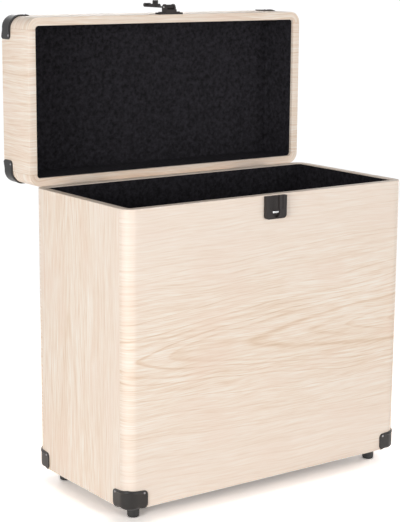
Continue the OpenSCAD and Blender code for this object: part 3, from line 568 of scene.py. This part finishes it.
def overlay(name, inset, place):
    """A flat sheet with round corners on the closed side of a box, lapped over the turned edges."""
    deselect()
    bpy.ops.mesh.primitive_plane_add(size=1, location=(0, 0, -OVERLAY_OUT))
    sheet = bpy.context.object
    sheet.name = name
    sheet.scale = (CASE_W - 2 * inset, CASE_D - 2 * inset, 1)
    apply_place(sheet)
    edit(sheet, "VERT")
    pick(sheet, "vertices", lambda v: True)
    bpy.ops.mesh.bevel(offset=max(EDGE_R - inset, OVERLAY_R), segments=10, affect="VERTICES")
    bpy.ops.mesh.select_all(action="SELECT")
    bpy.ops.mesh.flip_normals()
    for point in GUARD_LINES:
        bpy.ops.mesh.select_all(action="SELECT")
        bpy.ops.mesh.bisect(plane_co=point, plane_no=Vector(point).normalized())
    bpy.ops.mesh.select_mode(type="FACE")
    pick(sheet, "polygons", lambda f: under_guard(f.center))
    bpy.ops.mesh.delete(type="FACE")
    bpy.ops.object.mode_set(mode="OBJECT")
    layer = sheet.data.uv_layers[0]
    layer.name = "paper"
    for loop in sheet.data.loops:
        layer.data[loop.index].uv = sheet.data.vertices[loop.vertex_index].co.xy
    modify(sheet, "SOLIDIFY", thickness=VINYL_T, offset=-1)
    modify(sheet, "BEVEL", width=VINYL_T / 3, segments=2, angle_limit=math.radians(60))
    sheet.matrix_world = place
    apply_place(sheet)
    bpy.ops.object.shade_smooth_by_angle(angle=FLAT_SMOOTH)
    return sheet


def grained_black_vinyl():
    # Embossed black PVC: dull black with a fine leather grain.
    material, tree, shader = principled("grained_black_vinyl", "#1b1b1b", 0.55)
    place = add_node(tree, "ShaderNodeTexCoord").outputs["Object"]
    cells = {"Vector": place, "Scale": 1 / 0.0011}
    grain = add_node(tree, "ShaderNodeTexVoronoi", cells, feature="SMOOTH_F1")
    patches = add_node(tree, "ShaderNodeTexNoise", {"Vector": place, "Scale": 45, "Detail": 3})
    tone = add_node(tree, "ShaderNodeValToRGB", {"Fac": patches.outputs["Fac"]})
    tone.color_ramp.elements[0].color = linear("#171717")
    tone.color_ramp.elements[1].color = linear("#232222")
    tree.links.new(tone.outputs["Color"], shader.inputs["Base Color"])
    bump = add_node(
        tree, "ShaderNodeBump", {"Height": grain.outputs["Distance"], "Strength": 0.5, "Distance": 0.0002}
    )
    tree.links.new(bump.outputs["Normal"], shader.inputs["Normal"])
    return material


base_sheet = overlay("base_sheet", BASE_SHEET_IN, BODY_PLACE)
finish_with(base_sheet, grained_black_vinyl())
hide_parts("body_base_sheet")
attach(base_sheet, "box")

top_sheet = overlay("lid_top_vinyl", TOP_SHEET_IN, LID_PLACE)
finish_with(top_sheet, wood_vinyl("ash_vinyl_lid_top", 1, 2, 0.62, 0.4, (70, 24, 32)))
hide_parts("lid_top_wrap")
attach(top_sheet, "lid")

# ---- felt lining ----
# Black felt is glued to the floor and walls of both boxes, up to the turned edge of the vinyl.
# It bends softly in the corners, where the layers pull away from the wood a little.

LINING_IN = 0.0085
FELT_T = 0.0008
FELT_BEND = 0.0028
BOARD_T = 0.006


def black_felt():
    # Needled felt: very matt, near black, with a short nap that catches light in small tufts.
    material, tree, shader = principled("black_felt", "#1d1b1e", 0.95)
    shader.inputs["Specular IOR Level"].default_value = 0.12
    place = add_node(tree, "ShaderNodeTexCoord").outputs["Object"]
    tufts = add_node(
        tree, "ShaderNodeTexNoise", {"Vector": place, "Scale": 1 / 0.0022, "Detail": 5, "Roughness": 0.7}
    )
    clouds = add_node(tree, "ShaderNodeTexNoise", {"Vector": place, "Scale": 1 / 0.0045, "Detail": 2})
    both = {0: tufts.outputs["Fac"], 1: clouds.outputs["Fac"]}
    nap = add_node(tree, "ShaderNodeMath", both, operation="ADD").outputs[0]
    tone = add_node(tree, "ShaderNodeMapRange", {"Value": nap, "From Min": 0.75, "From Max": 1.25})
    ramp = add_node(tree, "ShaderNodeValToRGB", {"Fac": tone.outputs[0]})
    ramp.color_ramp.elements[0].color = linear("#141315")
    ramp.color_ramp.elements[1].color = linear("#302e33")
    tree.links.new(ramp.outputs["Color"], shader.inputs["Base Color"])
    bump = add_node(
        tree, "ShaderNodeBump", {"Height": tufts.outputs["Fac"], "Strength": 0.7, "Distance": 0.0006}
    )
    tree.links.new(bump.outputs["Normal"], shader.inputs["Normal"])
    return material


felt = black_felt()
for box, height, place in (("body", BODY_H, BODY_PLACE), ("lid", LID_H, LID_PLACE)):
    low, high = VINYL_T + BOARD_T + FELT_T, height - TURN_IN[box]
    deselect()
    bpy.ops.mesh.primitive_cube_add(size=1, location=(0, 0, (low + high) / 2))
    lining = bpy.context.object
    lining.name = f"{box}_felt"
    inset = LINING_IN + FELT_T
    lining.scale = (CASE_W - 2 * inset, CASE_D - 2 * inset, high - low)
    apply_place(lining)
    edit(lining)
    pick(lining, "polygons", lambda f: f.normal.z > 0.9)
    bpy.ops.mesh.delete(type="FACE")
    bpy.ops.mesh.select_mode(type="EDGE")
    pick(lining, "edges", lambda e: any(p.z < high - 1e-4 for p in ends(lining, e)))
    bpy.ops.mesh.bevel(offset=FELT_BEND, segments=6, profile=0.5)
    bpy.ops.mesh.select_all(action="SELECT")
    bpy.ops.mesh.flip_normals()
    bpy.ops.object.mode_set(mode="OBJECT")
    modify(lining, "SOLIDIFY", thickness=FELT_T, offset=-1)
    modify(lining, "BEVEL", width=FELT_T / 3, segments=2, angle_limit=math.radians(60))
    lining.matrix_world = place
    apply_place(lining)
    bpy.ops.object.shade_smooth_by_angle(angle=ROUND_SMOOTH)
    finish_with(lining, felt)
    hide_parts(f"{box}_lining")
    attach(lining, "box" if box == "body" else "lid")

# ---- corner guards ----
# Each corner has a guard pressed from thin steel and enamelled black: a ball corner with two wings
# and a plate. A bead stiffens the wings, and the plate under the case also carries the foot.

# The ball of a guard hangs BALL_HANG below the base. The hang starts HANG_UP above the base and is
# gone between the HANG_IN distances from the faces, so the foot stands clear of it. The bead lies
# BEAD_DOWN below the top edge and fades out before BEAD_END of the wing.
GUARD_T = 0.0012
GUARD_SEAT = 0.00005
GUARD_L, GUARD_H, GUARD_FALL = 0.025, 0.021, 0.002
GUARD_TIP_R = 0.004
GUARD_FOOT_R = 0.0055
GUARD_SHARP = 0.0015
BALL_H = 0.0042
BALL_HANG, HANG_UP, HANG_IN = 0.0016, 0.009, (0.002, 0.0062)
BODY_PLATE, LID_PLATE = 0.032, 0.027
BEAD_DOWN, BEAD_HALF, BEAD_OUT, BEAD_END = 0.0024, 0.0006, 0.0005, 0.74
BEAD_FADE = 0.06
GUARD_CELLS = 36
# The cells lie closer towards the edges of the guard. The plate widens over the first PLATE_WIDEN of
# its depth, and its inner corner is drawn in by PLATE_TUCK.
CELL_EASE, CELL_EASE_UP = 1.4, 1.5
PLATE_WIDEN, PLATE_TUCK = 0.4, 0.006


def smooth_step(a, b, x):
    """0 below a, 1 above b, with an even change between them."""
    t = min(max((x - a) / (b - a), 0), 1)
    return t * t * (3 - 2 * t)


def pressed(a, b, c, plate):
    """The place on the pressed guard of a point of the unit cube's corner, where a, b or c is 0."""
    a, b, c = 1 - (1 - a) ** CELL_EASE, 1 - (1 - b) ** CELL_EASE, 1 - (1 - c) ** CELL_EASE_UP
    along = max(a, b)
    if c > 0:
        reach = GUARD_L * along
        top = GUARD_H - GUARD_FALL * along
        if reach > GUARD_L - GUARD_TIP_R:
            over = min(reach - GUARD_L + GUARD_TIP_R, GUARD_TIP_R)
            top -= GUARD_TIP_R - math.sqrt(GUARD_TIP_R**2 - over**2)
        z = c * top
        low = max(GUARD_FOOT_R - z, 0)
        wing = GUARD_L - GUARD_FOOT_R + math.sqrt(GUARD_FOOT_R**2 - low**2)
        x, y = a * wing, b * wing
        drop = GUARD_H - GUARD_FALL * along - z - BEAD_DOWN
        bead = BEAD_OUT * math.exp(-((drop / BEAD_HALF) ** 2))
        bead *= 1 - smooth_step(BEAD_END - BEAD_FADE, BEAD_END, along)
    else:
        wing = GUARD_L - GUARD_FOOT_R
        x = a * (wing + (plate - wing) * smooth_step(0, PLATE_WIDEN, b) - PLATE_TUCK * b**6)
        y = b * (wing + (plate - wing) * smooth_step(0, PLATE_WIDEN, a) - PLATE_TUCK * a**6)
        z, bead = 0, 0
    fall = smooth_step(0, HANG_UP, z) if c > 0 else smooth_step(*HANG_IN, min(x, y))
    hang = BALL_HANG * (1 - fall) * (1 - smooth_step(0.3, 1, along))
    sharp = smooth_step(EDGE_R, GUARD_COVER, max(x, y))
    r = EDGE_R + (GUARD_SHARP - EDGE_R) * sharp
    rise = BALL_H + (GUARD_SHARP - BALL_H) * sharp
    core = Vector((max(x, r), max(y, r), max(z, rise)))
    out = Vector(((x - core.x) / r, (y - core.y) / r, (z - core.z) / rise)).normalized()
    skin = GUARD_SEAT + GUARD_T + bead
    return core + Vector((out.x * (r + skin), out.y * (r + skin), out.z * (rise + skin) - hang))


def guard_shape(plate):
    """One guard at the corner of a box, in the octant where the box lies at positive x, y and z."""
    deselect()
    bpy.ops.mesh.primitive_cube_add(size=1, location=(0.5, 0.5, 0.5))
    guard = bpy.context.object
    apply_place(guard)
    edit(guard)
    pick(guard, "polygons", lambda f: max(f.normal) > 0.9)
    bpy.ops.mesh.delete(type="FACE")
    bpy.ops.mesh.select_all(action="SELECT")
    bpy.ops.mesh.subdivide(number_cuts=GUARD_CELLS - 1)
    bpy.ops.object.mode_set(mode="OBJECT")
    for vertex in guard.data.vertices:
        vertex.co = pressed(*(max(round(p, 5), 0) for p in vertex.co), plate)
    modify(guard, "SOLIDIFY", thickness=GUARD_T, offset=-1)
    modify(guard, "BEVEL", width=GUARD_T / 4, segments=2, angle_limit=math.radians(60))
    return guard


def at_corner(piece, name, right, back, place):
    """A copy of a piece, drawn for the corner at the origin, at one corner of a box."""
    twin = copy_piece(piece, name)
    flip = Matrix.Diagonal((-1 if right else 1, -1 if back else 1, 1, 1))
    x, y = (1 if right else -1) * CASE_W / 2, (1 if back else -1) * CASE_D / 2
    twin.data.transform(place @ Matrix.Translation((x, y, 0)) @ flip)
    if right != back:
        twin.data.flip_normals()
    return twin


def black_enamel():
    # Stove enamel on pressed steel: black, half gloss, with a faint orange peel and a little dust.
    material, tree, shader = principled("black_enamel", "#0d0c0c", 0.4)
    shader.inputs["Specular IOR Level"].default_value = 0.4
    place = add_node(tree, "ShaderNodeTexCoord").outputs["Object"]
    peel = add_node(tree, "ShaderNodeTexNoise", {"Vector": place, "Scale": 1 / 0.0014, "Detail": 2})
    dust = add_node(
        tree, "ShaderNodeTexNoise", {"Vector": place, "Scale": 1 / 0.009, "Detail": 4, "Roughness": 0.65}
    )
    tone = add_node(tree, "ShaderNodeValToRGB", {"Fac": dust.outputs["Fac"]})
    tone.color_ramp.elements[0].color = linear("#0c0b0b")
    tone.color_ramp.elements[0].position = 0.35
    tone.color_ramp.elements[1].color = linear("#171515")
    tone.color_ramp.elements[1].position = 0.7
    tree.links.new(tone.outputs["Color"], shader.inputs["Base Color"])
    dull = add_node(
        tree, "ShaderNodeMapRange", {"Value": dust.outputs["Fac"], "To Min": 0.32, "To Max": 0.44}
    )
    tree.links.new(dull.outputs[0], shader.inputs["Roughness"])
    bump = add_node(
        tree, "ShaderNodeBump", {"Height": peel.outputs["Fac"], "Strength": 0.12, "Distance": 0.0002}
    )
    tree.links.new(bump.outputs["Normal"], shader.inputs["Normal"])
    return material


enamel = black_enamel()
# Each corner of a box, with whether it is on the right and whether it is at the back.
CORNERS = [
    ("front_left", False, False),
    ("front_right", True, False),
    ("back_left", False, True),
    ("back_right", True, True),
]
for box, plate, place in (("body", BODY_PLATE, BODY_PLACE), ("lid", LID_PLATE, LID_PLACE)):
    pressing = guard_shape(plate)
    for corner, right, back in CORNERS:
        guard = at_corner(pressing, f"{box}_{corner}_guard", right, back != (box == "lid"), place)
        apply_place(guard)
        bpy.ops.object.shade_smooth_by_angle(angle=ROUND_SMOOTH)
        finish_with(guard, enamel)
        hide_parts(f"{box}_guard_{corner}")
        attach(guard, "box" if box == "body" else "lid")
    bpy.data.objects.remove(pressing)

# ---- guard nails ----
# Round-headed nickelled nails fix the wings, and one more holds the plate of each upper guard.
# The heads are domed, so each shows one small highlight.

NAIL_R, NAIL_H = 0.0013, 0.0008
NAIL_IN, NAIL_Z = 0.0042, 0.0166
NAIL_TOP = EDGE_R + NAIL_IN


def bright_steel():
    # Nickel-plated steel: bright, slightly blurred by fine polishing marks.
    material, tree, shader = principled("bright_steel", "#d9d9da", 0.2, Metallic=1.0)
    place = add_node(tree, "ShaderNodeTexCoord").outputs["Object"]
    marks = add_node(tree, "ShaderNodeTexNoise", {"Vector": place, "Scale": 1 / 0.0006, "Detail": 3})
    dull = add_node(
        tree, "ShaderNodeMapRange", {"Value": marks.outputs["Fac"], "To Min": 0.14, "To Max": 0.32}
    )
    tree.links.new(dull.outputs[0], shader.inputs["Roughness"])
    return material


def dull_nickel():
    # Nickel-plated nail heads, dulled by handling: mid grey metal with a small soft highlight.
    material, tree, shader = principled("dull_nickel", "#858487", 0.3, Metallic=1.0)
    place = add_node(tree, "ShaderNodeTexCoord").outputs["Object"]
    tarnish = add_node(tree, "ShaderNodeTexNoise", {"Vector": place, "Scale": 1 / 0.0009, "Detail": 3})
    tone = add_node(tree, "ShaderNodeValToRGB", {"Fac": tarnish.outputs["Fac"]})
    tone.color_ramp.elements[0].color = linear("#6f6e72")
    tone.color_ramp.elements[1].color = linear("#9c9b9e")
    tree.links.new(tone.outputs["Color"], shader.inputs["Base Color"])
    return material


steel = bright_steel()
nickel = dull_nickel()


def join(pieces, name):
    """Several pieces made one."""
    deselect()
    for piece in pieces:
        piece.select_set(True)
    bpy.context.view_layer.objects.active = pieces[0]
    bpy.ops.object.join()
    pieces[0].name = name
    return pieces[0]


def nail_head():
    """A domed head on +Z, with its flat side at z = 0."""
    deselect()
    bpy.ops.mesh.primitive_uv_sphere_add(segments=20, ring_count=12, radius=NAIL_R)
    head = bpy.context.object
    head.scale = (1, 1, NAIL_H / NAIL_R)
    apply_place(head)
    edit(head)
    pick(head, "polygons", lambda f: True)
    bpy.ops.mesh.bisect(plane_co=(0, 0, 0), plane_no=(0, 0, -1), clear_outer=True, use_fill=True)
    bpy.ops.object.mode_set(mode="OBJECT")
    bpy.ops.object.shade_smooth_by_angle(angle=ROUND_SMOOTH)
    return head


dome = nail_head()
out_of_case = GUARD_SEAT + GUARD_T
front_turn, side_turn, plate_turn = (
    Matrix.Translation(spot) @ Matrix.Rotation(angle, 4, axis)
    for spot, angle, axis in (
        ((GUARD_L - NAIL_IN, -out_of_case, NAIL_Z), math.pi / 2, "X"),
        ((-out_of_case, GUARD_L - NAIL_IN, NAIL_Z), -math.pi / 2, "Y"),
        ((NAIL_TOP, NAIL_TOP, -out_of_case), math.pi, "X"),
    )
)
for box, turns, place in (
    ("body", (front_turn, side_turn), BODY_PLACE),
    ("lid", (front_turn, side_turn, plate_turn), LID_PLACE),
):
    heads = []
    for turn in turns:
        nail = copy_piece(dome, "nail")
        nail.data.transform(turn)
        heads += [at_corner(nail, "nail", right, back, place) for corner, right, back in CORNERS]
        bpy.data.objects.remove(nail)
    nails = join(heads, f"{box}_nails")
    finish_with(nails, nickel)
    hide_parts(f"{box}_guard_nails")
    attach(nails, "box" if box == "body" else "lid")
bpy.data.objects.remove(dome)

# ---- feet ----
# Four moulded rubber feet, each held by a plated screw that sits deep in its hole.
# The moulding leaves small round edges and a satin skin.

EASE_ANGLE = math.radians(40)


def eased(node, name, width, body, material):
    """A copy of a node of the frame with its sharp edges eased, as casting and pressing leave them."""
    piece = nodes[node].copy()
    piece.data = nodes[node].data.copy()
    piece.parent = None
    for key in list(piece.keys()):
        if key.startswith("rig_"):
            del piece[key]
    piece.name = name
    bpy.context.scene.collection.objects.link(piece)
    edit(piece)
    pick(piece, "polygons", lambda f: True)
    bpy.ops.mesh.remove_doubles(threshold=1e-6)
    bpy.ops.mesh.customdata_custom_splitnormals_clear()
    bpy.ops.mesh.dissolve_limited(angle_limit=math.radians(0.5))
    bpy.ops.object.mode_set(mode="OBJECT")
    modify(piece, "BEVEL", width=width, segments=3, angle_limit=EASE_ANGLE)
    bpy.ops.object.shade_smooth_by_angle(angle=EASE_ANGLE)
    finish_with(piece, material)
    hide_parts(node)
    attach(piece, body)
    return piece


def moulded_rubber():
    # Moulded rubber: black, satin, with a faint bloom that greys it unevenly.
    material, tree, shader = principled("moulded_rubber", "#1f1f1f", 0.5)
    place = add_node(tree, "ShaderNodeTexCoord").outputs["Object"]
    bloom = add_node(tree, "ShaderNodeTexNoise", {"Vector": place, "Scale": 1 / 0.006, "Detail": 4})
    tone = add_node(tree, "ShaderNodeValToRGB", {"Fac": bloom.outputs["Fac"]})
    tone.color_ramp.elements[0].color = linear("#1a1a1a")
    tone.color_ramp.elements[1].color = linear("#2c2b2b")
    tree.links.new(tone.outputs["Color"], shader.inputs["Base Color"])
    skin = add_node(tree, "ShaderNodeTexNoise", {"Vector": place, "Scale": 1 / 0.0004, "Detail": 2})
    bump = add_node(
        tree, "ShaderNodeBump", {"Height": skin.outputs["Fac"], "Strength": 0.25, "Distance": 0.0001}
    )
    tree.links.new(bump.outputs["Normal"], shader.inputs["Normal"])
    return material


rubber = moulded_rubber()
for corner, right, back in CORNERS:
    eased(f"foot_{corner}", f"{corner}_foot", 0.0005, "box", rubber)
finish_with(nodes["foot_screws"], steel)

# ---- keeper and catch ----
# The keeper on the front of the box is die-cast and blackened, with raised sides and a channel.
# Its bright steel bar is what the hook of the latch pulls under.


def black_casting():
    # Die-cast zinc with a black dip: dark grey, nearly matt, with a fine grainy skin.
    material, tree, shader = principled("black_casting", "#353231", 0.5)
    shader.inputs["Specular IOR Level"].default_value = 0.15
    place = add_node(tree, "ShaderNodeTexCoord").outputs["Object"]
    skin = add_node(
        tree, "ShaderNodeTexNoise", {"Vector": place, "Scale": 1 / 0.0009, "Detail": 4, "Roughness": 0.6}
    )
    tone = add_node(tree, "ShaderNodeValToRGB", {"Fac": skin.outputs["Fac"]})
    tone.color_ramp.elements[0].color = linear("#2d2a29")
    tone.color_ramp.elements[1].color = linear("#413c3b")
    tree.links.new(tone.outputs["Color"], shader.inputs["Base Color"])
    bump = add_node(
        tree, "ShaderNodeBump", {"Height": skin.outputs["Fac"], "Strength": 0.2, "Distance": 0.0002}
    )
    tree.links.new(bump.outputs["Normal"], shader.inputs["Normal"])
    return material


casting = black_casting()
eased("latch_keeper", "keeper", 0.0004, "box", casting)
eased("latch_catch", "catch_bar", 0.0003, "box", steel)

# ---- hinges ----
# Two leaf hinges of blackened steel on the back. Each leaf has three cross-headed screws,
# and a lug that stops the lid when it stands upright. The pins are bright steel.

for side in ("left", "right"):
    eased(f"hinge_{side}_body_leaf", f"{side}_hinge_lower_leaf", 0.0003, "box", enamel)
    eased(f"hinge_{side}_lid_leaf", f"{side}_hinge_upper_leaf", 0.0003, "lid", enamel)
    eased(f"hinge_{side}_pin", f"{side}_hinge_pin", 0.0003, "box", steel)
for name in ("hinge_screws_body", "hinge_screws_lid"):
    finish_with(nodes[name], casting)

# ---- latch on the lid ----
# A plate with two cheeks is riveted to the front of the lid. The hasp turns on its pin: a flat arm
# with a half-round hook and a curled tip, all pressed and blackened.

eased("latch_base", "latch_plate", 0.0004, "lid", casting)
eased("latch_rivets", "latch_plate_rivets", 0.0003, "lid", casting)
eased("latch_pin", "latch_pivot_pin", 0.0003, "lid", steel)
eased("latch_hasp", "hasp", 0.0004, "hasp", casting)

# ---- carrying handle ----
# A bent steel rod turns in two cast brackets on the top of the lid, and a moulded grip covers
# the middle of it. It hangs flat against the lid when the lid stands open.


def moulded_plastic():
    # Moulded polypropylene: near black, satin, with a spark-eroded texture from the mould.
    material, tree, shader = principled("moulded_plastic", "#222222", 0.45)
    place = add_node(tree, "ShaderNodeTexCoord").outputs["Object"]
    spark = add_node(
        tree, "ShaderNodeTexNoise", {"Vector": place, "Scale": 1 / 0.0007, "Detail": 4, "Roughness": 0.7}
    )
    tone = add_node(tree, "ShaderNodeValToRGB", {"Fac": spark.outputs["Fac"]})
    tone.color_ramp.elements[0].color = linear("#1b1b1c")
    tone.color_ramp.elements[1].color = linear("#2a2a2a")
    tree.links.new(tone.outputs["Color"], shader.inputs["Base Color"])
    bump = add_node(
        tree, "ShaderNodeBump", {"Height": spark.outputs["Fac"], "Strength": 0.3, "Distance": 0.0002}
    )
    tree.links.new(bump.outputs["Normal"], shader.inputs["Normal"])
    return material


plastic = moulded_plastic()
for side in ("left", "right"):
    eased(f"handle_bracket_{side}", f"{side}_handle_bracket", 0.0006, "lid", casting)
eased("handle_rod", "handle_bar", 0.0004, "handle", enamel)
eased("handle_grip", "grip", 0.0003, "handle", plastic)
finish_with(nodes["handle_screws"], casting)

# ---- finish ----
bpy.context.view_layer.update()
